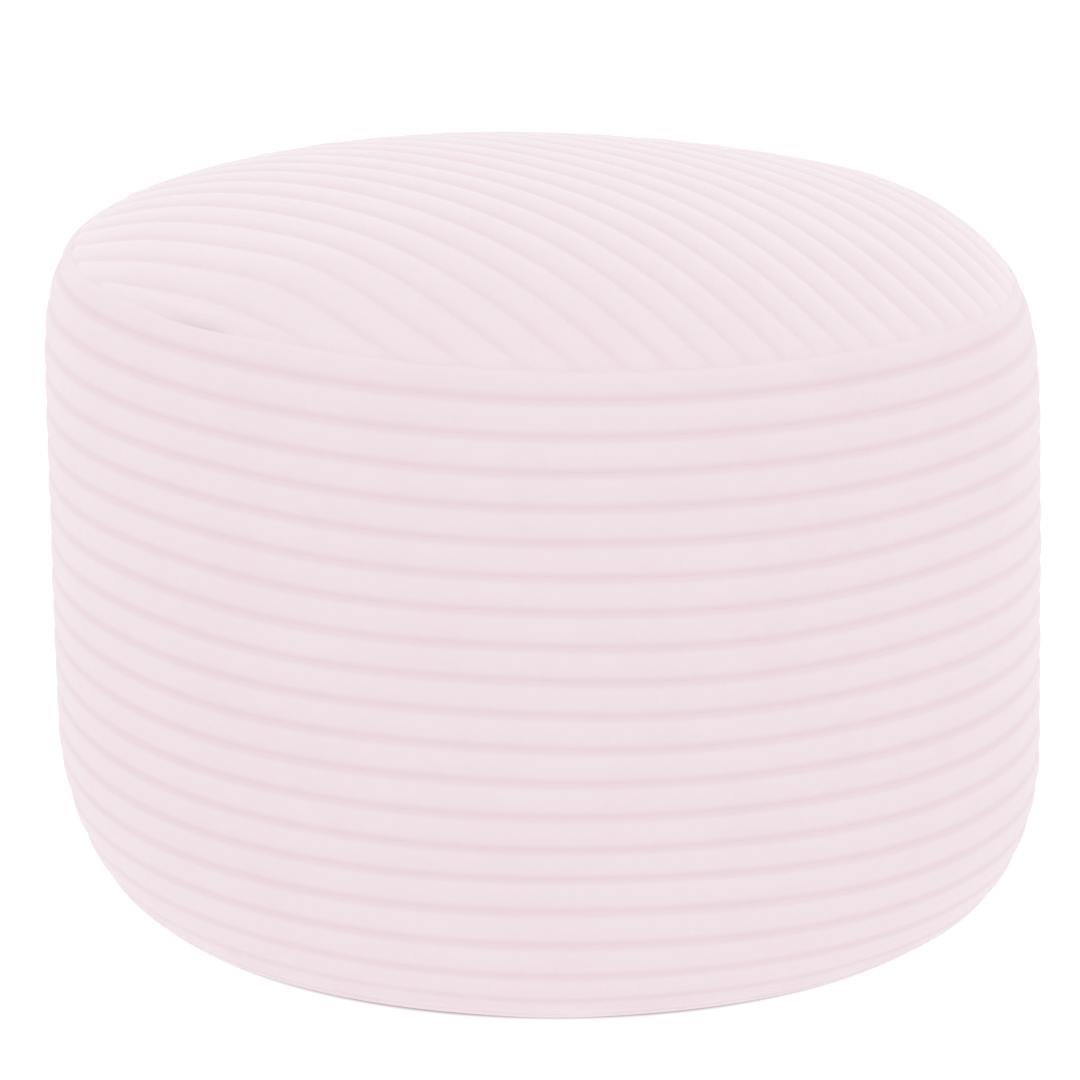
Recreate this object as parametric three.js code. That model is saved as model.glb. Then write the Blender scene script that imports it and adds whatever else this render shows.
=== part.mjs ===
// Round corduroy footstool: a filled side band with level ribs, a crowned top panel with slanting ribs, and a
// flat base panel. Millimetres, +Z up, front towards -Y, origin under the middle of the box at floor level.
import * as THREE from 'three';

// Driving dimensions
const BELLY_R = 250; // widest radius of the band
const FOOT_R = 199; // radius of the base seam
const TURN_H = 88; // height where the side starts to roll under
const TURN_POWER = 2; // squareness of that roll
const DRAW_H = 200; // height where the side starts to draw in to the top seam
const DRAW_POWER = 7.8; // how late it draws in
const SEAM_H = 334.4; // height of the top seam
const SEAM_R = 232.4; // radius of the top seam
const CROWN = 46; // rise of the top panel above its seam
const CROWN_POWER = 2.42; // how flat its middle is
const FRONT_FULL = 0.27; // how much fuller the crown is towards the front, as a share of its rise
const FLOOR_GAP = 0.8; // lift of the band's lowest rib above the floor

const WALE = 17; // rib pitch on the band
const FIRST_GROOVE = 15.6; // distance down the side from the top seam to the first groove
const TOP_WALE = 19; // rib pitch on the top panel
const TOP_TURN = THREE.MathUtils.degToRad(41.9); // direction across the top ribs, from +X towards +Y
const TOP_GROOVE = 11.5; // distance of one top groove from the middle
const GROOVE_DEPTH = 2.4;

const PANEL_INSET = 2; // step from the top seam in to the top panel's edge
const PANEL_T = 5.5; // rib top to underside
const PANEL_ROLL = 1.5; // how far the top panel's edge turns down into the seam
const PANEL_ROLL_W = 7; // width of that turn
const PUCKER = 1.3; // extra depth of the seam where the outermost top rib lies along it, at the front left
const PUCKER_L = 17; // half length of that
const PUCKER_AT = -22; // its middle, along that rib
const BASE_INSET = 3; // step from the base seam in to the base panel's edge
const BASE_T = 2;
const GAP = 0.42; // between pieces

const FOOT_SHIFT = 3.1; // the foot stands to the right of the belly
const LEAN_H = 160; // height where that shift ends
const TOP_SHIFT = -5.7; // and the top seam a little to the left
const TILT = -0.0244; // ribs and top slope down to the right, rise over run
const TILT_FADE = 40; // height over which that slope starts, above the level floor
const OUT_OF_ROUND = 1.1;
const RIB_WAVE = 0.9; // how far the ribs wander up and down
const HEM_LUMP = 3; // swelling over the hem's overlap at the front of the foot

// On the right the filling bulges over the shoulder, and the top seam slips down it
const SEAM_DIP = 9.5;
const DIP_TURN = THREE.MathUtils.degToRad(32); // half width of the dip
const BULGE = 30;
const BULGE_R = 140;
const BULGE_AT = new THREE.Vector2(336, 0).rotateAround(new THREE.Vector2(), THREE.MathUtils.degToRad(16.4));
const HOLD_POWER = 8; // how close to its seam the top panel feels the seam's own line

const AROUND = 56; // points round the drum
const ALONG = 14; // steps along a top rib
const PROFILE_STEPS = 240;

// One rib across its pitch, from groove to groove: how far each point lies below the rib's top
const RIB = [
  { across: 0.0, drop: 1.0 },
  { across: 0.17, drop: 0.26 },
  { across: 0.5, drop: 0.0 },
  { across: 0.83, drop: 0.26 },
];
// The first rib, from the seam's lip to the first groove, as shares of its width
const LIP_RIB = [
  { down: 0.08, drop: 0.5 },
  { down: 0.34, drop: 0.04 },
  { down: 0.74, drop: 0.3 },
];

const smooth = (t) => {
  const c = Math.min(Math.max(t, 0), 1);
  return c * c * (3 - 2 * c);
};

// Radius of the band at a height, over the rib tops
function bandRadius(height) {
  if (height > DRAW_H) {
    const t = (height - DRAW_H) / (SEAM_H - DRAW_H);
    return BELLY_R - (BELLY_R - SEAM_R) * t ** DRAW_POWER;
  }
  if (height < TURN_H) {
    const t = Math.min((TURN_H - height) / (TURN_H - FLOOR_GAP), 1);
    return FOOT_R + (BELLY_R - FOOT_R) * (1 - t ** TURN_POWER) ** (1 / TURN_POWER);
  }
  return BELLY_R;
}

// The band's half section as a run of points from the top seam to the base seam, with the distance run so far
function bandProfile() {
  const points = [];
  for (let i = 0; i <= PROFILE_STEPS; i += 1) {
    // close steps at both ends, where the section turns fastest
    const ease = 0.5 - 0.5 * Math.cos((Math.PI * i) / PROFILE_STEPS);
    const height = SEAM_H + (FLOOR_GAP - SEAM_H) * ease;
    const radius = bandRadius(height);
    const last = points[i - 1];
    const run = last ? last.run + Math.hypot(radius - last.radius, height - last.height) : 0;
    points.push({ radius, height, run });
  }
  return points;
}
const profile = bandProfile();
const profileLength = profile[PROFILE_STEPS].run;

// Point at a distance down the side, moved in from the rib tops by drop
function sidePoint(run, drop) {
  let i = 1;
  while (i < PROFILE_STEPS && profile[i].run < run) i += 1;
  const a = profile[i - 1];
  const b = profile[i];
  const t = (run - a.run) / (b.run - a.run);
  const step = b.run - a.run;
  const down = { radius: (b.radius - a.radius) / step, height: (b.height - a.height) / step };
  return {
    radius: a.radius + (b.radius - a.radius) * t + down.height * drop,
    height: a.height + (b.height - a.height) * t - down.radius * drop,
  };
}

// The top seam at an angle round the drum: its radius, its height, and how far down the side it runs
function seamAt(angle) {
  const turn = Math.atan2(Math.sin(angle), Math.cos(angle));
  const height = SEAM_H - SEAM_DIP * Math.exp(-((turn / DIP_TURN) ** 2));
  let i = 1;
  while (profile[i].height > height) i += 1;
  const a = profile[i - 1];
  const b = profile[i];
  const run = a.run + ((b.run - a.run) * (a.height - height)) / (a.height - b.height);
  return { radius: bandRadius(height), height, run };
}
const panelRadius = (angle) => seamAt(angle).radius - PANEL_INSET;

// Height of the top panel over its rib tops
function crownHeight(x, y) {
  const seam = seamAt(Math.atan2(y, x));
  const out = Math.hypot(x, y) / seam.radius;
  const held = out ** HOLD_POWER;
  const rise = CROWN * (1 - out ** CROWN_POWER) * (1 - (FRONT_FULL * y) / SEAM_R);
  const away = Math.hypot(x - BULGE_AT.x, y - BULGE_AT.y) / BULGE_R;
  return SEAM_H + (seam.height - SEAM_H) * held + rise + BULGE * Math.exp(-away * away) * (1 - held);
}

// How the filled drum stands: the foot to one side, the ribs and the top sloping a little
function settle(x, y, z) {
  const low = Math.max(0, 1 - z / LEAN_H);
  const shift = FOOT_SHIFT * low * low + TOP_SHIFT * (z / SEAM_H) ** 3;
  return [x + shift, y, z + TILT * (1 - Math.exp(-z / TILT_FADE)) * x];
}

// A closed body from vertices and triangles
function body(name, positions, triangles) {
  const geometry = new THREE.BufferGeometry();
  geometry.setAttribute('position', new THREE.Float32BufferAttribute(positions, 3));
  geometry.setIndex(triangles);
  geometry.computeVertexNormals();
  const material = new THREE.MeshStandardMaterial({ color: 0xefe0e6, roughness: 0.95, metalness: 0 });
  const mesh = new THREE.Mesh(geometry, material);
  mesh.name = name;
  return mesh;
}

// A closed body of rings from its bottom middle, out, up and in to its top middle. A ring gives its radius and
// height at an angle.
function ringBody(name, rings) {
  const positions = [];
  const triangles = [];
  const add = (ring, angle) => {
    const { radius, height } = ring(angle);
    positions.push(...settle(radius * Math.cos(angle), radius * Math.sin(angle), height));
  };
  const inner = rings.slice(1, -1);
  add(rings[0], 0);
  for (const ring of inner) {
    for (let j = 0; j < AROUND; j += 1) add(ring, (2 * Math.PI * j) / AROUND);
  }
  add(rings[rings.length - 1], 0);
  const top = 1 + inner.length * AROUND;
  const at = (i, j) => 1 + i * AROUND + (j % AROUND);
  for (let j = 0; j < AROUND; j += 1) {
    triangles.push(0, at(0, j + 1), at(0, j));
    for (let i = 0; i + 1 < inner.length; i += 1) {
      triangles.push(at(i, j), at(i, j + 1), at(i + 1, j + 1), at(i, j), at(i + 1, j + 1), at(i + 1, j));
    }
    triangles.push(top, at(inner.length - 1, j), at(inner.length - 1, j + 1));
  }
  return body(name, positions, triangles);
}
const level = (radius, height) => () => ({ radius, height });

// Corners of a ring of AROUND points stand out enough to clear a round edge by the gap
const clearOf = (radius) => (radius + GAP) / Math.cos(Math.PI / AROUND);

const PANEL_R = SEAM_R - PANEL_INSET;
const BASE_R = FOOT_R - BASE_INSET;
const CROWN_RINGS = [0.83, 0.66, 0.5, 0.33, 0.16];

// The uneven side: not quite round, ribs that wander, and the hem's lump at the front of the foot
function wander({ radius, height }, angle) {
  const free = Math.max(0, Math.sin((Math.PI * height) / SEAM_H));
  const round = Math.sin(2 * angle + 0.6) + 0.7 * Math.sin(3 * angle - 1.1);
  const wave = Math.sin(4 * angle + height / 60) + 0.6 * Math.sin(7 * angle - height / 35);
  const away = Math.atan2(Math.sin(angle + Math.PI / 2), Math.cos(angle + Math.PI / 2)) / 0.16;
  const lump = HEM_LUMP * Math.exp(-away * away - ((height - 14) / 14) ** 2);
  return {
    radius: radius + free * OUT_OF_ROUND * round + lump,
    height: Math.max(height + free * RIB_WAVE * wave, FLOOR_GAP),
  };
}

// The side band, filled, with a shelf for each panel
function sideBand() {
  const floor = BASE_T + GAP;
  const foot = clearOf(BASE_R);
  const rings = [level(0, floor), level(BASE_R / 2, floor), level(foot, floor), level(foot, FLOOR_GAP + 0.5)];
  const side = LIP_RIB.map((row) => (angle) => {
    const { run } = seamAt(angle);
    return wander(sidePoint(run + (FIRST_GROOVE - run) * row.down, GROOVE_DEPTH * row.drop), angle);
  });
  for (let groove = FIRST_GROOVE; groove < profileLength; groove += WALE) {
    for (const row of RIB) {
      const run = groove + WALE * row.across;
      if (run > profileLength - 1.5) break;
      const point = sidePoint(run, GROOVE_DEPTH * row.drop);
      side.push((angle) => wander(point, angle));
    }
  }
  rings.push(...side.reverse());
  const shelf = (radius, angle) => {
    const underside = crownHeight(radius * Math.cos(angle), radius * Math.sin(angle)) - PANEL_T;
    return { radius, height: underside - GAP };
  };
  rings.push((angle) => ({ radius: clearOf(panelRadius(angle)), height: seamAt(angle).height - 2 }));
  rings.push((angle) => shelf(clearOf(panelRadius(angle)), angle));
  for (const share of CROWN_RINGS) rings.push((angle) => shelf(share * panelRadius(angle), angle));
  rings.push((angle) => shelf(0, angle));
  return ringBody('side_band', rings);
}

// How far a point of the top panel lies below its rib tops, from its place across the ribs
function topDrop(across) {
  const t = (((across - TOP_GROOVE) / TOP_WALE) % 1 + 1) % 1;
  const rows = [...RIB, { across: 1, drop: 1 }];
  const i = rows.findIndex((row) => row.across >= t - 1e-9);
  const a = rows[Math.max(i - 1, 0)];
  const b = rows[i];
  const share = b.across > a.across ? (t - a.across) / (b.across - a.across) : 0;
  return a.drop + (b.drop - a.drop) * share;
}

// The top panel: rows of points along its ribs on top, rings underneath, joined round the edge
function topPanel() {
  const positions = [];
  const triangles = [];
  const cos = Math.cos(TOP_TURN);
  const sin = Math.sin(TOP_TURN);
  const angleOf = (across, along) => TOP_TURN + Math.atan2(along, across);
  const addTop = (across, along) => {
    const x = across * cos - along * sin;
    const y = across * sin + along * cos;
    const angle = Math.atan2(y, x);
    const inward = panelRadius(angle) - Math.hypot(x, y);
    const edge = smooth(1 - inward / PANEL_ROLL_W);
    const pucker = across < 0 ? PUCKER * Math.exp(-(((along - PUCKER_AT) / PUCKER_L) ** 2)) : 0;
    const drop = GROOVE_DEPTH * topDrop(across) * (1 - 0.7 * edge) + (PANEL_ROLL + pucker) * edge;
    positions.push(...settle(x, y, crownHeight(x, y) - drop));
    return { index: positions.length / 3 - 1, angle };
  };
  // where a row meets the panel's edge, which is not quite round
  const rowEnd = (across, side) => {
    let along = side * Math.sqrt(PANEL_R * PANEL_R - across * across);
    for (let i = 0; i < 8; i += 1) {
      const radius = panelRadius(angleOf(across, along));
      along = side * Math.sqrt(radius * radius - across * across);
    }
    return along;
  };

  // rows across the ribs, from one side of the panel to the other
  const reach = 0.972 * PANEL_R;
  const rows = [];
  const first = Math.floor((-reach - TOP_GROOVE) / TOP_WALE);
  for (let rib = first; TOP_GROOVE + rib * TOP_WALE < reach; rib += 1) {
    for (const row of RIB) {
      const across = TOP_GROOVE + (rib + row.across) * TOP_WALE;
      if (Math.abs(across) < reach) rows.push(across);
    }
  }
  const rim = [];
  const grid = rows.map((across) => {
    const ends = [rowEnd(across, -1), rowEnd(across, 1)];
    const points = [];
    for (let k = 0; k <= ALONG; k += 1) {
      // closer steps near the edge, where the panel turns down
      const share = 0.5 - 0.5 * Math.cos((Math.PI * k) / ALONG);
      points.push(addTop(across, ends[0] + (ends[1] - ends[0]) * share));
    }
    rim.push(points[0], points[ALONG]);
    return points.map((point) => point.index);
  });
  // the two slivers beyond the outermost rows, each bounded by its own arc
  const sliver = (row, across) => {
    const from = angleOf(across, rowEnd(across, -1));
    const to = angleOf(across, rowEnd(across, 1));
    const sweep = Math.atan2(Math.sin(to - from), Math.cos(to - from));
    return row.map((index, k) => {
      if (k === 0 || k === ALONG) return index;
      const angle = from + (sweep * k) / ALONG;
      const radius = panelRadius(angle);
      const point = addTop(radius * Math.cos(angle - TOP_TURN), radius * Math.sin(angle - TOP_TURN));
      rim.push(point);
      return point.index;
    });
  };
  const layers = [sliver(grid[0], rows[0]), ...grid, sliver(grid[grid.length - 1], rows[rows.length - 1])];
  for (let i = 0; i + 1 < layers.length; i += 1) {
    const a = layers[i];
    const b = layers[i + 1];
    for (let k = 0; k < ALONG; k += 1) {
      if (a[k] !== b[k]) triangles.push(a[k], b[k], b[k + 1]);
      if (a[k + 1] !== b[k + 1]) triangles.push(a[k], b[k + 1], a[k + 1]);
    }
  }

  // underside rings, from the edge to the middle
  const addUnder = (radius, angle) => {
    const x = radius * Math.cos(angle);
    const y = radius * Math.sin(angle);
    positions.push(...settle(x, y, crownHeight(x, y) - PANEL_T));
    return positions.length / 3 - 1;
  };
  const under = [1, ...CROWN_RINGS].map((share) => {
    const ring = [];
    for (let j = 0; j < AROUND; j += 1) {
      const angle = (2 * Math.PI * j) / AROUND;
      ring.push(addUnder(share * panelRadius(angle), angle));
    }
    return ring;
  });
  addUnder(0, 0);
  const middle = positions.length / 3 - 1;
  for (let j = 0; j < AROUND; j += 1) {
    const n = (j + 1) % AROUND;
    for (let i = 0; i + 1 < under.length; i += 1) {
      triangles.push(under[i][j], under[i + 1][n], under[i][n], under[i][j], under[i + 1][j], under[i + 1][n]);
    }
    const inner = under[under.length - 1];
    triangles.push(inner[j], middle, inner[n]);
  }

  // the edge wall, walking both loops round by angle
  const turnOf = (angle) => (angle < 0 ? angle + 2 * Math.PI : angle);
  rim.sort((a, b) => turnOf(a.angle) - turnOf(b.angle));
  let upper = 0;
  let lower = 0;
  const upperTurn = (i) => turnOf(rim[i % rim.length].angle) + (i >= rim.length ? 2 * Math.PI : 0);
  while (upper < rim.length || lower < AROUND) {
    const topNow = rim[upper % rim.length].index;
    const lowNow = under[0][lower % AROUND];
    const lowNext = (2 * Math.PI * (lower + 1)) / AROUND;
    if (lower >= AROUND || (upper < rim.length && upperTurn(upper + 1) < lowNext)) {
      triangles.push(lowNow, rim[(upper + 1) % rim.length].index, topNow);
      upper += 1;
    } else {
      triangles.push(lowNow, under[0][(lower + 1) % AROUND], topNow);
      lower += 1;
    }
  }
  return body('top_panel', positions, triangles);
}

function basePanel() {
  const outline = [[0, 0], [BASE_R / 2, 0], [BASE_R, 0], [BASE_R, BASE_T], [BASE_R / 2, BASE_T], [0, BASE_T]];
  return ringBody('base_panel', outline.map(([radius, height]) => level(radius, height)));
}

const stool = new THREE.Group();
stool.name = 'corduroy_footstool';
stool.add(sideBand(), topPanel(), basePanel());

// stand the set over the middle of its own box
const box = new THREE.Box3().setFromObject(stool);
const middle = box.getCenter(new THREE.Vector3());
for (const piece of stool.children) piece.geometry.translate(-middle.x, -middle.y, -box.min.z);

export default stool;
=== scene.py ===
# %% [markdown]
# # A corduroy footstool
#
# The stool is a drum of wide-ribbed corduroy, filled until its side is full and its top is crowned. Three
# cuts of cloth make it: a band whose ribs run level round the side, a round top whose ribs slant across it,
# and a plain round base. The imported CAD model gives the size and the place of each, and the soft pieces made
# here stand for those plain solids.

# %% Load the frame
import math

import bpy
import numpy as np
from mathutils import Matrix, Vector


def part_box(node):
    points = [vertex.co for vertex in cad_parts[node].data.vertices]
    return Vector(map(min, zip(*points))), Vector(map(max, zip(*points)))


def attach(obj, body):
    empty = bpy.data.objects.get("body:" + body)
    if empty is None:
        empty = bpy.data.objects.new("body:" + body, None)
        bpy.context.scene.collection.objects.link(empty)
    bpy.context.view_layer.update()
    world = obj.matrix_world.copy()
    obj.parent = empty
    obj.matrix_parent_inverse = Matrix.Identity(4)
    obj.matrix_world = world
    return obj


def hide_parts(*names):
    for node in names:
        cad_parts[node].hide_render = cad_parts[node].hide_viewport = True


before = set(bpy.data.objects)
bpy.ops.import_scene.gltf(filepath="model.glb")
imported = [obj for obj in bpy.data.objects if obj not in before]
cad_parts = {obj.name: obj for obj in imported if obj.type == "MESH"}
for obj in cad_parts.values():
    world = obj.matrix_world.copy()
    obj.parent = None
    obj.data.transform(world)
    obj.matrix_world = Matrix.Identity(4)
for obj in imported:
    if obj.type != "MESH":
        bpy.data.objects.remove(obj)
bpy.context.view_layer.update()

print("frame nodes:", sorted(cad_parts))

# %% [markdown]
# ## The drum's section
#
# All three pieces hang on one half section, taken over the tops of the ribs: it draws in to the top seam,
# stands nearly upright, and rolls under to the base seam. It could be drawn by hand as a curve, but two short
# formulas keep it fair, and distances measured along it then say where each rib lies. Lengths are in metres.

# %% The half section over the rib tops
BELLY_R = 0.250
FOOT_R = 0.199
TURN_H = 0.088
TURN_POWER = 2.0
DRAW_H = 0.200
DRAW_POWER = 6.8
SEAM_H = 0.3344
SEAM_R = 0.2324
FLOOR_GAP = 0.0008
SECTION_POINTS = 400


def side_radius(height):
    """Radius of the band over its rib tops at a height."""
    up = np.clip((height - DRAW_H) / (SEAM_H - DRAW_H), 0, 1)
    low = np.clip((TURN_H - height) / (TURN_H - FLOOR_GAP), 0, 1)
    drawn_in = (BELLY_R - SEAM_R) * up ** DRAW_POWER
    rolled = (BELLY_R - FOOT_R) * (1 - (1 - low ** TURN_POWER) ** (1 / TURN_POWER))
    return BELLY_R - drawn_in - rolled


ease = 0.5 - 0.5 * np.cos(np.linspace(0, np.pi, SECTION_POINTS))
section_h = SEAM_H + (FLOOR_GAP - SEAM_H) * ease
section_r = side_radius(section_h)
section_run = np.concatenate([[0], np.cumsum(np.hypot(np.diff(section_r), np.diff(section_h)))])
SIDE_LENGTH = float(section_run[-1])
print(f"side from seam to seam: {1000 * SIDE_LENGTH:.0f} mm")

# %% A point on the side
RUN_STEP = 0.0005


def side_point(run, drop):
    """Radius and height at a distance down the side from the top seam, sunk below the rib tops by drop."""
    ahead = np.minimum(run + RUN_STEP, SIDE_LENGTH)
    behind = np.maximum(run - RUN_STEP, 0)
    d_r = np.interp(ahead, section_run, section_r) - np.interp(behind, section_run, section_r)
    d_h = np.interp(ahead, section_run, section_h) - np.interp(behind, section_run, section_h)
    size = np.hypot(d_r, d_h)
    radius = np.interp(run, section_run, section_r) + d_h / size * drop
    height = np.interp(run, section_run, section_h) - d_r / size * drop
    return radius, height


halfway = side_point(SIDE_LENGTH / 2, 0.0)
print("halfway down the side, radius and height in mm:", [round(1000 * float(v)) for v in halfway])

# %% [markdown]
# ## The top seam
#
# The seam that joins the top panel to the band runs level round the drum, except on the right, where the
# filling bulges over the shoulder and the seam has slipped down it, and a little on the left. It could be a
# curve drawn by hand, but two smooth dips in a level ring can be asked for the seam at any angle, and both
# pieces ask the same functions. Angles are counted from the right, turning to the back.

# %% The seam's line
SEAM_DIP = 0.0095
LEFT_DIP = 0.0032
DIP_TURN = math.radians(32)
FRONT = -np.pi / 2


def turn_from(turn, middle):
    """Angle from a middle one, up to half a turn either way."""
    return np.angle(np.exp(1j * (turn - middle)))


def seam_height(turn):
    """Height of the top seam at an angle."""
    from_right = turn_from(turn, 0) / DIP_TURN
    from_left = turn_from(turn, np.pi) / DIP_TURN
    return SEAM_H - SEAM_DIP * np.exp(-from_right ** 2) - LEFT_DIP * np.exp(-from_left ** 2)


def seam_radius(turn):
    """Radius of the top seam at an angle."""
    return side_radius(seam_height(turn))


print("height of the seam at the front, right and left in mm:",
      [round(1000 * float(seam_height(turn)), 1) for turn in (FRONT, 0, np.pi)])

# %% [markdown]
# The stitches draw the cloth down along the seam, most at the front, and into one short pucker at the front
# left. There the filling also lifts the seam a little. Both could be sculpted, but then the two edges would
# have to be matched by hand, so each is a soft ridge or valley that the band and the panel follow alike.

# %% How the seam is drawn down and lifted
SEAM_SINK = 0.0017
SINK_WIDTH = 0.0035
BACK_SINK = 0.3
PUCKER = 0.0045
PUCKER_INSET = 0.0020
PUCKER_WIDTH = 0.0022
PUCKER_TURN = math.radians(-135.5)
PUCKER_SPREAD = math.radians(6)
LIFT = 0.0024
LIFT_TURN = math.radians(-132)
LIFT_SPREAD = math.radians(34)
LIFT_INSIDE = 0.007
LIFT_OUTSIDE = 0.025


def seam_sink(turn, inward):
    """How far the stitches draw the cloth down at an angle and a distance inwards from the seam."""
    along = turn_from(turn, PUCKER_TURN) / PUCKER_SPREAD
    across = (inward - PUCKER_INSET) / PUCKER_WIDTH
    at_front = np.maximum(0, -np.sin(turn))
    all_round = SEAM_SINK * (BACK_SINK + (1 - BACK_SINK) * at_front) * np.exp(-(inward / SINK_WIDTH) ** 2)
    return all_round + PUCKER * np.exp(-along ** 2 - across ** 2)


def seam_lift(turn, inward):
    """How far the filling lifts the seam at the front left, and the cloth on both sides of it."""
    along = turn_from(turn, LIFT_TURN) / LIFT_SPREAD
    across = inward / np.where(inward > 0, LIFT_INSIDE, LIFT_OUTSIDE)
    return LIFT * np.exp(-along ** 2 - across ** 2)


print(f"seam drawn down at the front: {1000 * seam_sink(FRONT, 0.0):.1f} mm")

# %% [markdown]
# ## The crown
#
# Inside the seam the filling pushes the top up into a flattened dome. It is fuller at the front, over the
# right shoulder and just inside the lifted seam. A squashed sphere would meet the seam too steeply and be too
# even, so the dome is a power curve with two soft round spots on it, which the seam holds down at the edge.

# %% The crown's height
CROWN = 0.046
CROWN_POWER = 2.42
FRONT_FULL = 0.27
HOLD_POWER = 8
# where the filling makes the crown fuller: rise, width, distance from the middle, angle
FULLNESS = [
    (0.0265, 0.140, 0.336, math.radians(16.4)),
    (0.0062, 0.045, 0.200, math.radians(-126)),
]


def round_spot(x, y, width, away, turn):
    """A soft round spot, 1 at its middle, which lies at a distance and an angle from the drum's middle."""
    off_x = x - away * math.cos(turn)
    off_y = y - away * math.sin(turn)
    return np.exp(-(off_x ** 2 + off_y ** 2) / width ** 2)


def crown_height(x, y):
    """Height of the top panel over its rib tops."""
    seam = seam_height(np.arctan2(y, x))
    out = np.hypot(x, y) / side_radius(seam)
    held = out ** HOLD_POWER
    rise = CROWN * (1 - out ** CROWN_POWER) * (1 - FRONT_FULL * y / SEAM_R)
    full = 0.0
    for swell, width, away, turn in FULLNESS:
        full = full + swell * round_spot(x, y, width, away, turn)
    return SEAM_H + (seam - SEAM_H) * held + rise + full * (1 - held)


print(f"crown at the middle: {1000 * crown_height(0.0, 0.0):.0f} mm")

# %% [markdown]
# ## How the drum stands
#
# A filled drum never stands quite true. Its foot sits a little to the right, its top a little to the left,
# and its ribs and its top slope down to the right. Each piece could be leaned by itself, but one function
# that moves the points of every piece in the same way keeps together what was made to fit. The step between
# this frame and the CAD frame is read from the base panel's box.

# %% The lean and the slope
FOOT_SHIFT = 0.0031
LEAN_H = 0.160
TOP_SHIFT = -0.0057
TILT = -0.0244
TILT_FADE = 0.040

base_low, base_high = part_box("base_panel")
frame_step = np.array([(base_low[0] + base_high[0]) / 2 - FOOT_SHIFT, (base_low[1] + base_high[1]) / 2, 0.0])


def settle(points):
    """Moves points from the true drum to the drum as it stands."""
    x, y, z = points.T
    low = np.clip(1 - z / LEAN_H, 0, None)
    shift = FOOT_SHIFT * low ** 2 + TOP_SHIFT * (z / SEAM_H) ** 3
    return np.stack([x + shift, y, z + TILT * (1 - np.exp(-z / TILT_FADE)) * x], axis=1) + frame_step


print("step to the CAD frame in mm:", np.round(1000 * frame_step, 2))

# %% [markdown]
# ## Filling the ribs
#
# Each rib is a soft roll between two grooves, where the weave holds the cloth flat. It could be drawn as a
# fixed arc, but cloth that is blown up between pinned lines takes the rounder, slightly uneven shape of a
# padded roll. So each piece starts as a cage with low ribs, its grooves are pinned, the Cloth simulation
# fills it by pressure with gravity off, and no point may move further than a cap. Subdivision then rounds it
# off.

# %% Read and write a piece's points
def points_of(piece):
    """The piece's points as rows of x, y, z."""
    flat = np.empty(len(piece.data.vertices) * 3)
    piece.data.vertices.foreach_get("co", flat)
    return flat.reshape(-1, 3)


def set_points(piece, points):
    """Writes points back to the piece."""
    piece.data.vertices.foreach_set("co", points.ravel())
    piece.data.update()


def pick(piece):
    """Makes a piece the only one that is selected, and the active one."""
    bpy.ops.object.select_all(action="DESELECT")
    bpy.context.view_layer.objects.active = piece
    piece.select_set(True)


# %% Fill a cage between its grooves
FILL_FRAMES = 20
FILL_PRESSURE = 60.0
CLOTH_STIFFNESS = 12
NO_MOVE = 1e-9


def fill_ribs(piece, pinned, cap):
    """Blows up a cage between its pinned points, and returns the largest move in millimetres."""
    start = points_of(piece)
    group = piece.vertex_groups.new(name="pinned")
    group.add([int(i) for i in np.nonzero(pinned)[0]], 1.0, "REPLACE")
    cloth = piece.modifiers.new("filling", "CLOTH")
    cloth.settings.quality = 6
    cloth.settings.mass = 0.2
    cloth.settings.tension_stiffness = CLOTH_STIFFNESS
    cloth.settings.compression_stiffness = CLOTH_STIFFNESS
    cloth.settings.bending_stiffness = 0.2
    cloth.settings.vertex_group_mass = group.name
    cloth.settings.use_pressure = True
    cloth.settings.uniform_pressure_force = FILL_PRESSURE
    cloth.settings.effector_weights.gravity = 0
    cloth.point_cache.frame_end = FILL_FRAMES
    for number in range(1, FILL_FRAMES + 1):
        bpy.context.scene.frame_set(number)
    pick(piece)
    bpy.ops.object.modifier_apply(modifier=cloth.name)
    bpy.context.scene.frame_set(1)
    piece.vertex_groups.clear()
    move = points_of(piece) - start
    length = np.linalg.norm(move, axis=1, keepdims=True)
    move *= np.minimum(1, cap / np.maximum(length, NO_MOVE))
    set_points(piece, start + move)
    return 1000 * float(np.linalg.norm(move, axis=1).max())


# %% Round a cage off
ROUNDS = 2


def round_off(piece):
    """Subdivides a cage into a smooth piece, and applies it."""
    pick(piece)
    smooth = piece.modifiers.new("round_off", "SUBSURF")
    smooth.levels = ROUNDS
    smooth.render_levels = ROUNDS
    smooth.uv_smooth = "NONE"
    bpy.ops.object.modifier_apply(modifier=smooth.name)
    bpy.ops.object.shade_smooth()


# %% [markdown]
# ## The side band
#
# The band is a strip of corduroy with its ribs level, joined into a ring and filled. It could be lathed from
# a drawn section, but a ring that is extruded row by row is how one would model it by hand, and it leaves
# every row on a rib's groove, edge or top. The rows start in the middle under the crown, run out to the seam
# and tuck under the panel's edge. From the seam's lip they go down over the ribs to the base seam, and they
# close below.

# %% Measures of the band
AROUND = 40
WALE = 0.017
FIRST_GROOVE = 0.0156
GROOVE_DEPTH = 0.0010
PANEL_T = 0.0055
BASE_T = 0.002
PIECE_GAP = 0.0004
BASE_SEAM = 0.003
# one rib from groove to groove: the place across it, and how far it lies below the rib's top
RIB_ROWS = [(0.0, 1.0), (0.08, 0.72), (0.22, 0.36), (0.5, 0.0), (0.78, 0.36), (0.92, 0.72)]
# the lip, from the seam to the first groove, in the same way, and its width counted in ribs
LIP_ROWS = [(0.0, 0.25), (0.25, 0.0), (0.5, 0.0), (0.77, 0.36), (0.91, 0.72)]
LIP_RIBS = 0.8
# subdivision draws a ring of points in, so the cage's rings are larger by this share
RING_SWELL = 6 / (4 + 2 * math.cos(2 * math.pi / AROUND))

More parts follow.
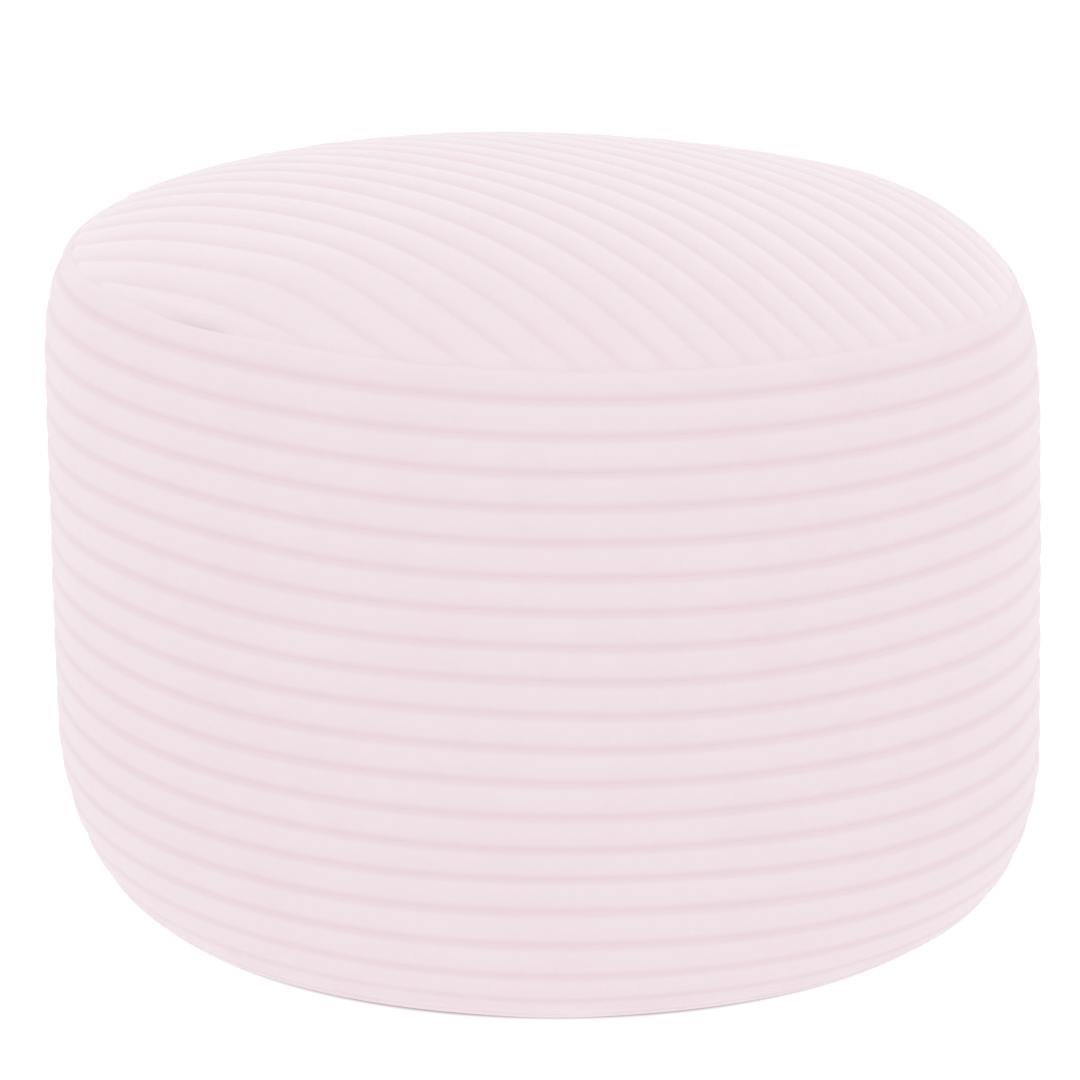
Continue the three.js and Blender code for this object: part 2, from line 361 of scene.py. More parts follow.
base_r = FOOT_R - BASE_SEAM
last_rib = (SIDE_LENGTH - FIRST_GROOVE) / WALE
print(f"ribs from the first groove to the base seam: {last_rib:.1f}")

# %% [markdown]
# As the filling settles, the cloth slips with it: at the right, and in places at the front, the ribs have
# slid down the side, and at the lower left and low at the front they ride up it. The finished band could be
# pushed about, but a slip that is measured along the side keeps every row on the drum's section.

# %% Where the ribs have slipped
# how far down the side, the angle and its spread, distances from the top seam, and the share of it at each
RIB_SLIPS = [
    (0.0048, math.radians(0), math.radians(35), (0.20, 0.30), (1.0, 0.0)),
    (-0.0062, math.radians(180), math.radians(35),
     (0.17, 0.27, SIDE_LENGTH - 0.01, SIDE_LENGTH), (0, 1, 0.4, 0)),
    (0.0026, math.radians(-112), math.radians(24), (0.08, 0.14, 0.22, 0.28), (0, 1, 1, 0)),
    (0.0030, math.radians(-88), math.radians(28), (0.235, 0.26, 0.288, 0.31, SIDE_LENGTH), (0, -1, 0, 1, 0)),
]


def rib_slip(turn, run):
    """How far the ribs have slipped down the side, at an angle and a distance from the seam."""
    total = 0.0
    for amount, middle, spread, runs, shares in RIB_SLIPS:
        along = turn_from(turn, middle) / spread
        total = total + amount * np.interp(run, runs, shares) * np.exp(-along ** 2)
    return total


print(f"slip of the first groove at the right: {1000 * rib_slip(0.0, FIRST_GROOVE):.1f} mm")

# %% Kinds of row
# each one is a function from angles to radius and height
MIDDLE_R = 0.004


def shelf_row(share):
    """A row under the crown, at a share of the way out to the seam."""
    def place(turn):
        radius = np.maximum(share * seam_radius(turn), MIDDLE_R)
        return radius, crown_height(radius * np.cos(turn), radius * np.sin(turn)) - PANEL_T - 2 * PIECE_GAP
    return place


def tucked_row(inset, lower):
    """A row under the panel's edge, inside the seam and lower than the crown."""
    def place(turn):
        radius = seam_radius(turn) - inset
        return RING_SWELL * radius, crown_height(radius * np.cos(turn), radius * np.sin(turn)) - lower
    return place


def lip_row(share, drop):
    """A row at a share of the way from the seam to the first groove."""
    def place(turn):
        start = np.interp(SEAM_H - seam_height(turn), SEAM_H - section_h, section_run)
        end = FIRST_GROOVE + rib_slip(turn, FIRST_GROOVE)
        radius, height = side_point(start + (end - start) * share, GROOVE_DEPTH * drop)
        return RING_SWELL * radius, height
    return place


def rib_row(run, drop):
    """A row on a rib, at a distance down the side."""
    def place(turn):
        radius, height = side_point(run + rib_slip(turn, run), GROOVE_DEPTH * drop)
        return RING_SWELL * radius, height
    return place


def flat_row(radius, height):
    """A level round row."""
    return lambda turn: (radius + 0 * turn, height + 0 * turn)


# %% List the rows
SHELF_SHARES = (0.0, 0.2, 0.45, 0.7, 0.9)
SHELF_RIB = -3.0
# how far inside the seam and how far below the crown
TUCKED_ROWS = [(0.007, 0.0035), (0.0025, 0.0009)]
BOTTOM_SHARES = (0.8, 0.5, 0.2, 0.0)
HEM_OUT = 0.001
HEM_UP = 0.0004
END_ROOM = 0.002
rows = []


def add_row(place, rib, pinned=False):
    """Adds a row: its place, its number counted in ribs from the first groove, and whether it is pinned."""
    rows.append({"place": place, "rib": rib, "pinned": pinned})


for share in SHELF_SHARES:
    add_row(shelf_row(share), SHELF_RIB)
for inset, lower in TUCKED_ROWS:
    add_row(tucked_row(inset, lower), -LIP_RIBS * (1 + inset / FIRST_GROOVE), pinned=True)
for share, drop in LIP_ROWS:
    add_row(lip_row(share, drop), LIP_RIBS * (share - 1))
groove_run = FIRST_GROOVE
while groove_run < SIDE_LENGTH - 2 * END_ROOM:
    for across, drop in RIB_ROWS:
        run = groove_run + WALE * across
        if run < SIDE_LENGTH - END_ROOM:
            add_row(rib_row(run, drop), (run - FIRST_GROOVE) / WALE, pinned=across == 0.0)
    groove_run += WALE
add_row(flat_row(base_r + HEM_OUT, FLOOR_GAP + HEM_UP), last_rib, pinned=True)
add_row(flat_row(base_r + PIECE_GAP, BASE_T + PIECE_GAP), last_rib + 1)
for share in BOTTOM_SHARES:
    add_row(flat_row(max(base_r * share, MIDDLE_R), BASE_T + PIECE_GAP), last_rib + 1)
print("rows in the band's cage:", len(rows))

# %% Extrude the ring row by row
# each row is extruded where it lies at the left, and its points are then put in place round the drum
sizes = [row["place"](np.pi) for row in rows]
bpy.ops.object.select_all(action="DESELECT")
bpy.ops.mesh.primitive_circle_add(vertices=AROUND, radius=sizes[0][0], fill_type="NGON")
band = bpy.context.object
band.name = "corduroy_band"
bpy.ops.object.mode_set(mode="EDIT")
bpy.ops.mesh.select_all(action="SELECT")
bpy.ops.transform.translate(value=(0, 0, sizes[0][1]))
bpy.ops.mesh.select_mode(type="EDGE")
bpy.ops.mesh.region_to_loop()
for (last_r, last_h), (radius, height) in zip(sizes, sizes[1:]):
    bpy.ops.mesh.extrude_edges_move(TRANSFORM_OT_translate={"value": (0, 0, height - last_h)})
    bpy.ops.transform.resize(value=(radius / last_r, radius / last_r, 1))
bpy.ops.mesh.edge_face_add()
bpy.ops.mesh.select_all(action="SELECT")
bpy.ops.mesh.normals_make_consistent(inside=False)
bpy.ops.object.mode_set(mode="OBJECT")
cage = points_of(band)
row_of = np.arange(len(cage)) // AROUND
turn = np.arctan2(cage[:, 1], cage[:, 0])
for number, row in enumerate(rows):
    here = row_of == number
    radius, height = row["place"](turn[here])
    cage[here] = np.stack([radius * np.cos(turn[here]), radius * np.sin(turn[here]), height], axis=1)
set_points(band, cage)
print("band cage:", len(cage), "points")

# %% [markdown]
# A UV map lays the cloth out flat: one way is the distance round the stool, the other counts ribs, with a
# whole number at each groove. An unwrap would spread it by the shape alone and lose that count. The finish
# reads the map later, so its grooves and pile follow the cloth.

# %% Lay out the cloth
def lay_out(piece, along, across, around=0.0):
    """Writes a UV map from two values a point; around is the length at which the first one starts again."""
    layer = piece.data.uv_layers.new(name="rib_map")
    uv = np.empty((len(piece.data.loops), 2))
    for face in piece.data.polygons:
        corners = list(face.vertices)
        length = along[corners].copy()
        if around and length.max() - length.min() > around / 2:
            length[length < around / 2] += around
        uv[list(face.loop_indices), 0] = length
        uv[list(face.loop_indices), 1] = across[corners]
    layer.data.foreach_set("uv", uv.ravel())


row_rib = np.array([row["rib"] for row in rows])
lay_out(band, (turn % (2 * np.pi)) * BELLY_R, row_rib[row_of], around=2 * np.pi * BELLY_R)
print(f"cloth round the band: {2 * np.pi * BELLY_R:.2f} m")

# %% [markdown]
# Now the band is filled. Its grooves, the rows under the panel's edge and those that close it above and below
# are pinned, so that only the ribs swell.

# %% Fill the band and round it off
BAND_CAP = 0.0008
row_pinned = np.array([row["pinned"] for row in rows])
hidden = (row_rib < -1) | (row_rib >= last_rib)
swell = fill_ribs(band, (row_pinned | hidden)[row_of], BAND_CAP)
print(f"the band's ribs swelled by up to {swell:.2f} mm")
round_off(band)
print("band:", len(band.data.polygons), "faces")

# %% [markdown]
# No rib is quite level or quite even: it wanders, it is fuller in some places, and the hem makes the band
# swell at the front of its foot. A noise texture could shake the points, but it would show as dents. Slow
# waves, with a set of phases for each rib from a seeded draw, stay smooth. Last, the lip is drawn down and
# lifted with the seam, and the band is stood on its foot.

# %% Soft swelling along the ribs
SWELL_WAVES = (3, 7, 13)
draw = np.random.default_rng(5)


def uneven(turns, rib_numbers):
    """Soft swelling along each rib, from -1 to 1, with its own phases for each rib."""
    ribs = np.floor(rib_numbers).astype(int)
    ribs -= ribs.min()
    phases = draw.uniform(0, 2 * np.pi, (ribs.max() + 1, len(SWELL_WAVES)))
    waves = [np.sin(count * turns + phases[ribs, n]) for n, count in enumerate(SWELL_WAVES)]
    return sum(waves) / len(SWELL_WAVES)


def rib_numbers_of(piece):
    """The rib count of each point, taken from the UV map at any of its corners."""
    uv = np.empty(len(piece.data.loops) * 2)
    piece.data.uv_layers["rib_map"].data.foreach_get("uv", uv)
    corners = np.empty(len(piece.data.loops), dtype=int)
    piece.data.loops.foreach_get("vertex_index", corners)
    numbers = np.empty(len(piece.data.vertices))
    numbers[corners] = uv[1::2]
    return numbers


def rib_crest(rib):
    """0 in a groove and 1 on a rib's top."""
    return np.sin(np.pi * (rib % 1)) ** 2


# %% Uneven ribs
OUT_OF_ROUND = 0.0011
RIB_WAVE = 0.0009
SLOW_CLIMB = 0.06
QUICK_CLIMB = 0.035
RIB_DENT = 0.00035
HEM_LUMP = 0.003
HEM_LUMP_H = 0.014
HEM_LUMP_TURN = 0.16

flat_x, flat_y, height = points_of(band).T
turn = np.arctan2(flat_y, flat_x)
radius = np.hypot(flat_x, flat_y)
rib = rib_numbers_of(band)
outside = (rib > -LIP_RIBS) & (rib < last_rib)
level = np.where(outside, np.clip(np.sin(np.pi * height / SEAM_H), 0, 1), 0)
# two slow waves put the drum out of round, and two that climb make the ribs wander up and down
radius = radius + level * OUT_OF_ROUND * (np.sin(2 * turn + 0.6) + 0.7 * np.sin(3 * turn - 1.1))
radius = radius + level * RIB_DENT * rib_crest(rib) * uneven(turn, rib)
wave = np.sin(4 * turn + height / SLOW_CLIMB) + 0.6 * np.sin(7 * turn - height / QUICK_CLIMB)
height = height + level * RIB_WAVE * wave
from_front = turn_from(turn, FRONT) / HEM_LUMP_TURN
lump = HEM_LUMP * np.exp(-from_front ** 2 - ((height - HEM_LUMP_H) / HEM_LUMP_H) ** 2)
radius = radius + np.where(outside, lump, 0)
height = np.where(outside, np.maximum(height, FLOOR_GAP), height)
inward = -FIRST_GROOVE * (rib / LIP_RIBS + 1)
height = height - seam_sink(turn, inward) + seam_lift(turn, inward)
set_points(band, settle(np.stack([radius * np.cos(turn), radius * np.sin(turn), height], axis=1)))
print(f"widest radius of the band: {1000 * radius.max():.1f} mm")

# %% [markdown]
# ## The top panel
#
# The top is a round cut of the same cloth, laid so that its ribs slant from the back left to the front right,
# and sewn into the band's edge. A ready-made disc has its faces in rings, which straight ribs would cut
# across, so a grid is used instead: its rows become the ribs' grooves, edges and tops, and each row is
# shortened to the round. Near the seam at the front right the ribs bend a little, and the grooves get
# shallower at the rim and towards the back.

# %% List the rows of the top
TOP_WALE = 0.019
TOP_TURN = math.radians(41.9)
TOP_GROOVE = 0.0115
# the outermost rows lie just inside the rim, part of the way down a groove, with no other row close by
ROW_REACH = 0.9985
REACH_DROP = 0.6
REACH_ROOM = 0.0015

reach_low = -ROW_REACH * float(seam_radius(TOP_TURN + math.pi))
reach_high = ROW_REACH * float(seam_radius(TOP_TURN))
first_rib = math.floor((reach_low - TOP_GROOVE) / TOP_WALE)
end_rib = math.ceil((reach_high - TOP_GROOVE) / TOP_WALE)
# place across the ribs, how far down a groove it lies, and whether it is pinned
top_rows = [(reach_low, REACH_DROP, True)]
for number in range(first_rib, end_rib):
    for across, drop in RIB_ROWS:
        place = TOP_GROOVE + (number + across) * TOP_WALE
        if reach_low + REACH_ROOM < place < reach_high - REACH_ROOM:
            top_rows.append((place, drop, across == 0.0))
top_rows.append((reach_high, REACH_DROP, True))
print("rows in the top's cage:", len(top_rows))

# %% A grid cut to the round, with its rows on the ribs
ALONG = 16
TOP_OVERLAP = 0.0004
END_TRIES = 12


def row_end(place, side):
    """How far along a row the panel's edge lies, found by trying again from each answer."""
    along = 0 * place
    for _ in range(END_TRIES):
        radius = seam_radius(TOP_TURN + np.arctan2(along, place)) + TOP_OVERLAP
        along = side * np.sqrt(np.maximum(radius ** 2 - place ** 2, 0))
    return along


bpy.ops.object.select_all(action="DESELECT")
bpy.ops.mesh.primitive_grid_add(x_subdivisions=len(top_rows) - 1, y_subdivisions=ALONG, size=2)
panel = bpy.context.object
panel.name = "corduroy_top"
grid = points_of(panel)
line = np.rint((grid[:, 0] + 1) / 2 * (len(top_rows) - 1)).astype(int)
place, drop, pinned = (np.array(column)[line] for column in zip(*top_rows))
near_end = row_end(place, -1)
far_end = row_end(place, 1)
along = near_end + (far_end - near_end) * (0.5 + 0.5 * np.sin(np.pi / 2 * grid[:, 1]))
print("top cage:", len(top_rows), "rows of", ALONG + 1, "points")

# %% Bend the ribs, sink the grooves and raise the crown
TOP_DEPTH = 0.0018
BACK_FLAT = 0.4
RIM_FADE = 0.012
RIM_DEPTH = 0.4
TOP_BEND = 0.005
BEND_SIZE = 0.075
BEND_AWAY = 0.215
BEND_TURN = math.radians(-40)


def on_slant(place, along):
    """Plan coordinates of a point from its place across and along the top's ribs."""
    return (place * math.cos(TOP_TURN) - along * math.sin(TOP_TURN),
            place * math.sin(TOP_TURN) + along * math.cos(TOP_TURN))


x, y = on_slant(place, along)
bent = place - TOP_BEND * round_spot(x, y, BEND_SIZE, BEND_AWAY, BEND_TURN)
x, y = on_slant(bent, along)
from_rim = seam_radius(np.arctan2(y, x)) - np.hypot(x, y)
sunk = np.interp(from_rim, (0, RIM_FADE), (RIM_DEPTH, 1.0)) * (1 - BACK_FLAT * y / SEAM_R)
top_h = crown_height(x, y) - TOP_DEPTH * drop * sunk
set_points(panel, np.stack([bent, along, top_h], axis=1))
print(f"deepest groove of the top: {1000 * (TOP_DEPTH * drop * sunk).max():.1f} mm")

# %% Fill the top panel and round it off
TOP_CAP = 0.0008
GRID_END = 0.999
lay_out(panel, along, (place - TOP_GROOVE) / TOP_WALE)
at_row_end = np.abs(grid[:, 1]) > GRID_END
swell = fill_ribs(panel, pinned | at_row_end, TOP_CAP)
print(f"the top's ribs swelled by up to {swell:.2f} mm")
round_off(panel)
print("top panel:", len(panel.data.polygons), "faces")

# %% [markdown]
# The panel's edge is tucked into the seam. The rows end there, but between them the rim runs a little inside
# it. A boolean cut would leave ragged faces, so the rim's points are picked out and let out to the seam, and
# the cloth near them goes part of the way. The edge then turns down, more softly at the left, and goes
# with the seam as the band's lip does.

# %% Pick out the panel's rim
bpy.ops.object.mode_set(mode="EDIT")
bpy.ops.mesh.select_mode(type="VERT")
bpy.ops.mesh.select_all(action="DESELECT")
bpy.ops.mesh.select_non_manifold()
bpy.ops.object.mode_set(mode="OBJECT")
rim = np.array([point.select for point in panel.data.vertices])
print("points on the rim:", int(rim.sum()))

# %% Let the rim out to the seam
LET_OUT_POWER = 8
place, along, top_h = points_of(panel).T
x, y = on_slant(place, along)
turn = np.arctan2(y, x)
out = np.hypot(x, y)
order = np.argsort(turn[rim])
rim_out = np.interp(turn, turn[rim][order], out[rim][order], period=2 * np.pi)
edge_r = seam_radius(turn) + TOP_OVERLAP
let_out = 1 + (edge_r / rim_out - 1) * (out / rim_out) ** LET_OUT_POWER
x = x * let_out
y = y * let_out
out = out * let_out
print(f"rim let out by up to {1000 * (edge_r - rim_out)[rim].max():.2f} mm")

# %% Turn the edge down and stand the panel on the drum
EDGE_TURN = 0.0014
EDGE_WIDTH = 0.004
LEFT_WIDER = 1.2
LEFT_SOFTER = 0.36
SWELL_RUN = 0.08


def smooth_step(share):
    """A soft step from 0 to 1."""
    share = np.clip(share, 0, 1)
    return share * share * (3 - 2 * share)


at_left = np.clip(-np.cos(turn), 0, 1) ** 2
edge = smooth_step(1 - (edge_r - out) / (EDGE_WIDTH * (1 + LEFT_WIDER * at_left)))
top_h = top_h - EDGE_TURN * (1 - LEFT_SOFTER * at_left) * edge ** 2
inward = seam_radius(turn) - out
top_h = top_h - seam_sink(turn, inward) + seam_lift(turn, inward)
rib = rib_numbers_of(panel)
top_h = top_h + RIB_DENT * rib_crest(rib) * (1 - edge) * uneven(along / SWELL_RUN, rib)
set_points(panel, settle(np.stack([x, y, top_h], axis=1)))
print(f"highest point of the top before it is settled: {1000 * top_h.max():.1f} mm")

# %% Give the top panel its thickness
TOP_THICK = 0.0022
pick(panel)
thick = panel.modifiers.new("cloth", "SOLIDIFY")
thick.thickness = TOP_THICK
thick.offset = -1
bpy.ops.object.modifier_apply(modifier=thick.name)
bpy.ops.object.shade_smooth()
print("top panel, both sides:", len(panel.data.polygons), "faces")

# %% [markdown]
# ## The base panel
#
# The base closes the bottom and never shows. A plain cylinder would do for its size, but a disc that is
# inset, thickened and bevelled is a round of cloth with a turned hem.

# %% A plain disc with a hem
BASE_POINTS = 128
HEM_WIDTH = 0.012
HEM_STEP = 0.002
HEM_DEPTH = 0.0004
BASE_EDGE = 0.0006
FLAT_ANGLE = math.radians(40)
bpy.ops.object.select_all(action="DESELECT")
bpy.ops.mesh.primitive_circle_add(vertices=BASE_POINTS, radius=base_r, fill_type="NGON")
base = bpy.context.object
base.name = "base_cloth"
bpy.ops.object.mode_set(mode="EDIT")
bpy.ops.mesh.select_all(action="SELECT")
bpy.ops.mesh.inset(thickness=HEM_WIDTH, depth=0)
bpy.ops.mesh.inset(thickness=HEM_STEP, depth=-HEM_DEPTH)
bpy.ops.mesh.select_all(action="SELECT")
bpy.ops.mesh.extrude_region_move(TRANSFORM_OT_translate={"value": (0, 0, BASE_T - HEM_DEPTH)})
bpy.ops.mesh.select_all(action="SELECT")
bpy.ops.mesh.normals_make_consistent(inside=False)
bpy.ops.object.mode_set(mode="OBJECT")
soft_edge = base.modifiers.new("soft_edge", "BEVEL")
soft_edge.width = BASE_EDGE
soft_edge.segments = 2
soft_edge.limit_method = "ANGLE"
bpy.ops.object.modifier_apply(modifier=soft_edge.name)
bpy.ops.object.shade_smooth_by_angle(angle=FLAT_ANGLE)
points = points_of(base)
points[:, 2] -= points[:, 2].min()
set_points(base, settle(points))
print("base:", len(base.data.polygons), "faces")

# %% [markdown]
# ## Writing a finish as sums
#
# A finish is a graph of nodes, which is slow to read as code. This small class holds one socket of that
# graph: adding, subtracting or multiplying two of them adds the Math node that does it, and one method adds
# any other node, with its settings first and its inputs after. Three short functions then name the nodes
# that the finishes use most.

# %% Sums on sockets
class Wire:
    """A value in a material's node graph."""

    def __init__(self, tree, socket=None):
        self.tree = tree
        self.socket = socket

    def add(self, kind, settings=None, inputs=None, out=0):
        """Adds a node and returns its output."""
        node = self.tree.nodes.new(kind)
        for name, value in (settings or {}).items():
            setattr(node, name, value)
        for key, value in (inputs or {}).items():
            if isinstance(value, Wire):
                self.tree.links.new(value.socket, node.inputs[key])
            else:
                node.inputs[key].default_value = value
        return Wire(self.tree, node.outputs[out])

    def sum(self, operation, first, second=0.0):
        """Adds a Math node."""
        return self.add("ShaderNodeMath", {"operation": operation}, {0: first, 1: second})

    def __add__(self, other):
        return self.sum("ADD", self, other)

    def __sub__(self, other):
        return self.sum("SUBTRACT", self, other)

    def __rsub__(self, other):
        return self.sum("SUBTRACT", other, self)

    def __mul__(self, other):
        return self.sum("MULTIPLY", self, other)

    __radd__ = __add__
    __rmul__ = __mul__


# %% Ramps, blends and noise
def ramp(value, low, high, first=0.0, last=1.0, kind="LINEAR"):
    """Goes from first to last while a value goes from low to high."""
    inputs = {0: value, 1: low, 2: high, 3: first, 4: last}
    return value.add("ShaderNodeMapRange", {"interpolation_type": kind}, inputs)


def blend(share, first, second):
    """Goes from the first colour to the second while a share goes from 0 to 1."""
    return share.add("ShaderNodeMix", {"data_type": "RGBA"}, {0: share, 6: first, 7: second}, out=2)


def noise(where, scale, detail, roughness=0.5):
    """Soft noise over the surface."""
    inputs = {"Vector": where, "Scale": scale, "Detail": detail, "Roughness": roughness}
    return where.add("ShaderNodeTexNoise", inputs=inputs)


def new_finish(name):
    """A material with its nodes cleared, and its output node."""
    finish = bpy.data.materials.new(name)
    finish.use_nodes = True
    finish.node_tree.nodes.clear()
    return finish, finish.node_tree.nodes.new("ShaderNodeOutputMaterial")


# %% [markdown]
# ## The corduroy's finish
#
# The cloth is a very pale pink with a short brushed pile. Seen close, the pile is a fine fuzz, the dye is a
# little uneven, and the grooves, where the pile is short, are a deeper pink, made deeper still by painted
# shade for their hollows. On the side the upper part of each rib is painted paler, a painted highlight for
# the light from above, and the lowest ribs at the foot are painted darker in blotches, a painted shade. Hair
# could be grown for the pile, but it is too short to tell apart, so a low bump does. The rib map says how far
# a point is from its groove. Sheen, set on the shader itself, gives the pale bloom that pile has at a slant,
# and more of it on the top, where the pile lies another way.

# %% Corduroy
PILE_PINK = (0.806, 0.687, 0.729, 1)
PALE_PINK = (0.832, 0.738, 0.768, 1)
GROOVE_PINK = (0.720, 0.530, 0.580, 1)
DYE_SCALE = 22
CLUMP_SCALE = 130
FUZZ_SCALE = 420
GROOVE_FLOOR = 0.04
PILE_DEPTH = 0.0008
# ribs above the base seam at which the painted shade's blotches at the foot begin, and at which they are full
FOOT_SHADE_BEGINS = 3.2
FOOT_SHADE_FULL = 0.7
NO_FOOT_SHADE = 100
# what the painted shade at the foot takes from the grooves' colour and gives to its blotches
FOOT_SHADE_HIDES = 0.6
FOOT_SHADE_BLOTCH = 0.5
SHADE_RANGE = (0.15, 1.35)
SHADE_BLOTCH_RANGE = (0.35, 0.65)
GROOVE_BARE = 0.5
CLUMP_RISE = 0.6


def corduroy(name, groove_share, groove_width, painted_rib_light, bloom, foot_shade_rib):
    """The ribbed cloth's finish: its grooves' colour, partly painted shade, and width, the painted highlight
    on the upper part of each rib, its bloom, and the painted shade at its foot.
    """
    finish, output = new_finish(name)
    graph = Wire(finish.node_tree)
    mapped = graph.add("ShaderNodeUVMap", {"uv_map": "rib_map"})
    across = graph.add("ShaderNodeSeparateXYZ", inputs={0: mapped}, out=1)
    where = graph.add("ShaderNodeTexCoord", out=3)
    from_groove = graph.sum("PINGPONG", across, 0.5)
    # the grooves' deeper pink is partly the cloth's own colour and partly painted shade for their hollows
    groove = ramp(from_groove, GROOVE_FLOOR, groove_width, first=1.0, last=0.0, kind="SMOOTHSTEP")
    dye = noise(where, DYE_SCALE, detail=4, roughness=0.6)
    fuzz = noise(where, FUZZ_SCALE, detail=5, roughness=0.7)
    clump = noise(where, CLUMP_SCALE, detail=2)
    # the upper part of each rib is painted paler: a painted highlight for the light from above
    below_groove = 1 - graph.sum("FRACT", across)
    shade = dye + 0.5 * clump + painted_rib_light * (below_groove - 0.5)
    cloth = blend(ramp(shade, *SHADE_RANGE), PILE_PINK, PALE_PINK)
    # painted shade at the foot: the lowest ribs are painted darker in blotches, and their grooves' colour
    # fades
    foot_shade = ramp(across, foot_shade_rib - FOOT_SHADE_BEGINS, foot_shade_rib - FOOT_SHADE_FULL)
    shade_blotch = ramp(dye, *SHADE_BLOTCH_RANGE)
    groove_pink_and_shade = groove_share * groove * (1 - FOOT_SHADE_HIDES * foot_shade) + FOOT_SHADE_BLOTCH * foot_shade * shade_blotch
    pile_h = fuzz * (1 - GROOVE_BARE * groove) + CLUMP_RISE * clump
    bump = graph.add("ShaderNodeBump", inputs={"Strength": 0.35, "Distance": PILE_DEPTH, "Height": pile_h})
    shader = graph.add("ShaderNodeBsdfPrincipled", inputs={
        "Base Color": blend(groove_pink_and_shade, cloth, GROOVE_PINK), "Roughness": 0.88 + 0.1 * fuzz, "Normal": bump,
        "Specular IOR Level": 0.15, "Sheen Weight": bloom, "Sheen Roughness": 0.45,
    })
    finish.node_tree.links.new(shader.socket, output.inputs["Surface"])
    return finish


# the band's ribs get a painted highlight on their upper part and painted shade at the foot; both finishes
# paint shade into their grooves
side_finish = corduroy("band_corduroy", groove_share=0.34, groove_width=0.235, painted_rib_light=0.8, bloom=0.45,
                       foot_shade_rib=last_rib)
top_finish = corduroy("top_corduroy", groove_share=0.13, groove_width=0.3, painted_rib_light=0.0, bloom=0.75,
                      foot_shade_rib=NO_FOOT_SHADE)
band.data.materials.append(side_finish)
panel.data.materials.append(top_finish)
print("finishes:", side_finish.name, top_finish.name)

# %% [markdown]
# ## The base's finish
#
# The base is plain woven cloth in the same pink. A picture of cloth could be laid on it, but two crossed
# waves, one for the warp and one for the weft, make a weave that is fine enough for lining cloth.

# %% Base cloth
WEAVE_SCALE = 260
WEAVE_DEPTH = 0.0003


def woven(name):
    """The plain woven finish of the base."""
    finish, output = new_finish(name)
    graph = Wire(finish.node_tree)
    where = graph.add("ShaderNodeTexCoord", out=3)
    run = {"Vector": where, "Scale": WEAVE_SCALE}
    warp = graph.add("ShaderNodeTexWave", {"bands_direction": "X"}, run, out=1)
    weft = graph.add("ShaderNodeTexWave", {"bands_direction": "Y"}, run, out=1)
    weave = warp * weft
    bump = graph.add("ShaderNodeBump", inputs={"Strength": 0.3, "Distance": WEAVE_DEPTH, "Height": weave})
    shader = graph.add("ShaderNodeBsdfPrincipled", inputs={
        "Base Color": blend(weave, GROOVE_PINK, PILE_PINK), "Roughness": 0.95 - 0.1 * weave, "Normal": bump,
        "Specular IOR Level": 0.2,
    })
    finish.node_tree.links.new(shader.socket, output.inputs["Surface"])
    return finish


base_finish = woven("base_weave")
base.data.materials.append(base_finish)
print("finish of the base:", base_finish.name)

# %% [markdown]
# ## What each piece stands for
#
# The stool has no joints, so all of it rides on one body. Each soft piece stands for its CAD solid, which
# MuJoCo keeps for collision.

# %% Tie the pieces to the frame
for piece, node, finish_slot in ((band, "side_band", "corduroy_band"), (panel, "top_panel", "corduroy_top"),
                                 (base, "base_panel", "base_cloth")):
    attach(piece, "root")
    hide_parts(node)
    print(piece.name, "stands for", node)

# %% [markdown]
# ## Floor, light and camera
#
# The stool stands on a white ground in bright, even light, with only a thin dark line under its foot. A
# floor that is lit by lamps would turn grey round the stool, so this one glows white by itself, with a painted
# shadow, a dark plum spot under the foot, whose edge makes that line. The world gives even white light from
# all round, and a weak, wide lamp above makes the upper half of each rib a little brighter. The camera stands
# well back with a long lens, a little above the stool, as in the photograph.

# %% Floor
FLOOR_SIZE = 24
FLOOR_GLOW = 0.98
FLOOR_GREY = (0.08, 0.08, 0.08, 1)
WHITE = (1, 1, 1, 1)
# the painted contact shadow under the foot: its plum colour, and where it fades into the glow
SHADOW_PLUM = (0.3, 0.16, 0.2, 1)
PAINTED_SHADOW_ENDS = 0.002
GLOW_FULL = 0.0095
bpy.ops.object.select_all(action="DESELECT")
bpy.ops.mesh.primitive_plane_add(size=FLOOR_SIZE)
floor = bpy.context.object
floor.name = "floor"
white, output = new_finish("white_floor")
graph = Wire(white.node_tree)
foot_middle = (frame_step[0] + FOOT_SHIFT, frame_step[1], 0)
where = graph.add("ShaderNodeTexCoord", out=3)
away = graph.add("ShaderNodeVectorMath", {"operation": "DISTANCE"}, {0: where, 1: foot_middle}, out=1)
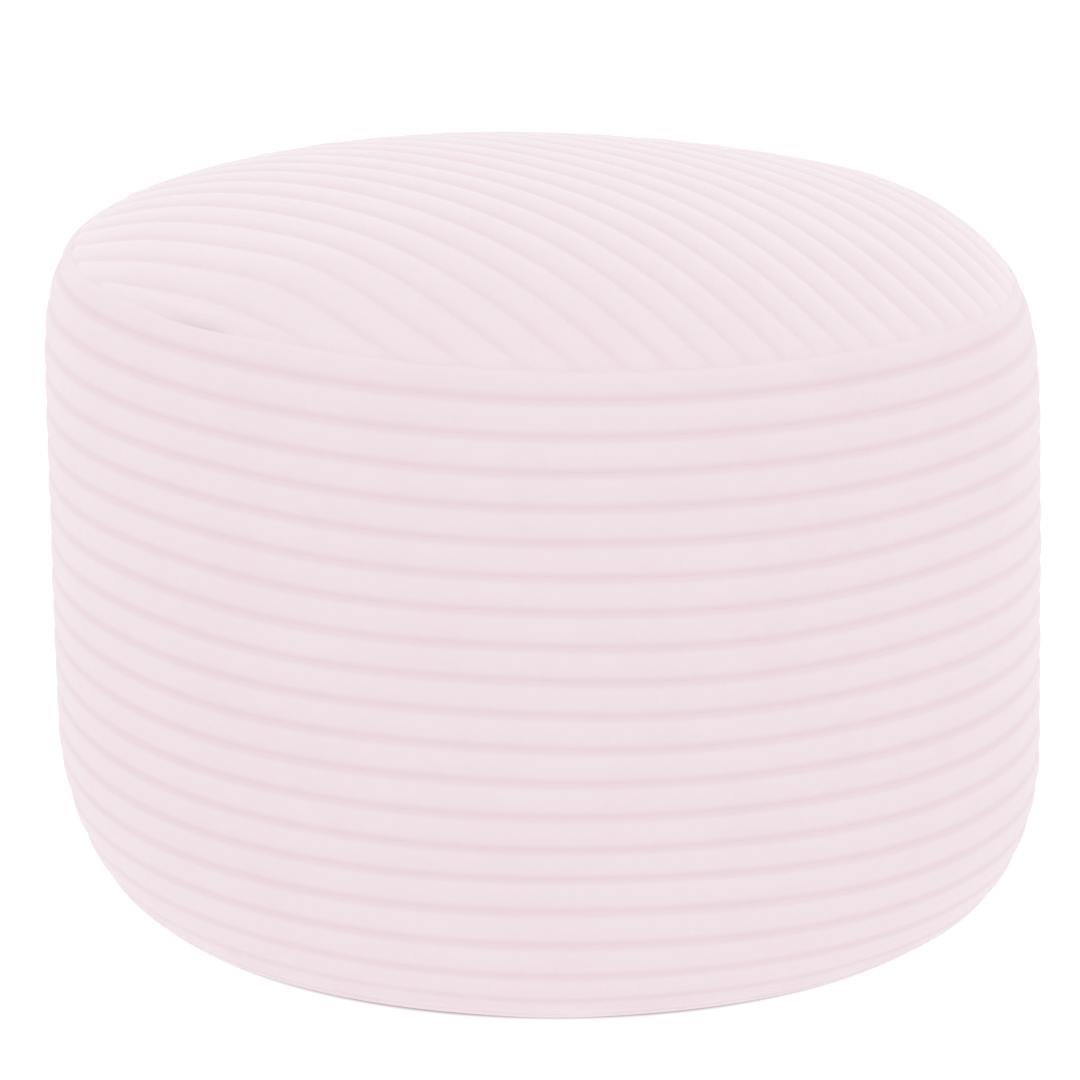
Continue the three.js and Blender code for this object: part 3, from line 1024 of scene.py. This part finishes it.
# a painted shadow: the floor's glow turns dark plum under the foot
unshadowed = ramp(away, FOOT_R + PAINTED_SHADOW_ENDS, FOOT_R + GLOW_FULL, kind="SMOOTHSTEP")
shine = graph.add("ShaderNodeBsdfPrincipled", inputs={
    "Base Color": FLOOR_GREY, "Roughness": 0.9, "Specular IOR Level": 0.1,
    "Emission Color": blend(unshadowed, SHADOW_PLUM, WHITE), "Emission Strength": FLOOR_GLOW,
})
white.node_tree.links.new(shine.socket, output.inputs["Surface"])
floor.data.materials.append(white)
print("floor:", FLOOR_SIZE, "m wide")

# %% Light
SKY_LIGHT = 1.05
LAMP_POWER = 1.8
LAMP_SIZE = 2.4
LAMP_PLACE = (0.1, -0.1, 2.6)
LAMP_TILT = math.radians(2)
sky = bpy.data.worlds.new("white_studio")
sky.use_nodes = True
sky.node_tree.nodes["Background"].inputs["Color"].default_value = WHITE
sky.node_tree.nodes["Background"].inputs["Strength"].default_value = SKY_LIGHT
bpy.context.scene.world = sky
bpy.ops.object.light_add(type="AREA", location=LAMP_PLACE)
lamp = bpy.context.object
lamp.name = "soft_lamp"
lamp.data.energy = LAMP_POWER
lamp.data.size = LAMP_SIZE
lamp.rotation_euler = (LAMP_TILT, LAMP_TILT, 0)
bpy.context.scene.view_settings.view_transform = "Standard"
print("lamp:", LAMP_POWER, "W, sky:", SKY_LIGHT)

# %% Camera
CAMERA_RISE = math.radians(16.48)
CAMERA_AWAY = 3.585
AIM = (-0.00315, 0.0, 0.1823)
LENS = 235.5
SENSOR = 36
FAR_CLIP = 100
bpy.ops.object.camera_add()
camera = bpy.context.object
camera.data.sensor_width = SENSOR
camera.data.lens = LENS
camera.data.clip_end = FAR_CLIP
back = CAMERA_AWAY * math.cos(CAMERA_RISE)
above = CAMERA_AWAY * math.sin(CAMERA_RISE)
camera.location = (AIM[0], AIM[1] - back, AIM[2] + above)
camera.rotation_euler = (math.pi / 2 - CAMERA_RISE, 0, 0)
bpy.context.scene.camera = camera
print(f"camera {back:.2f} m in front and {above:.2f} m above its aim")
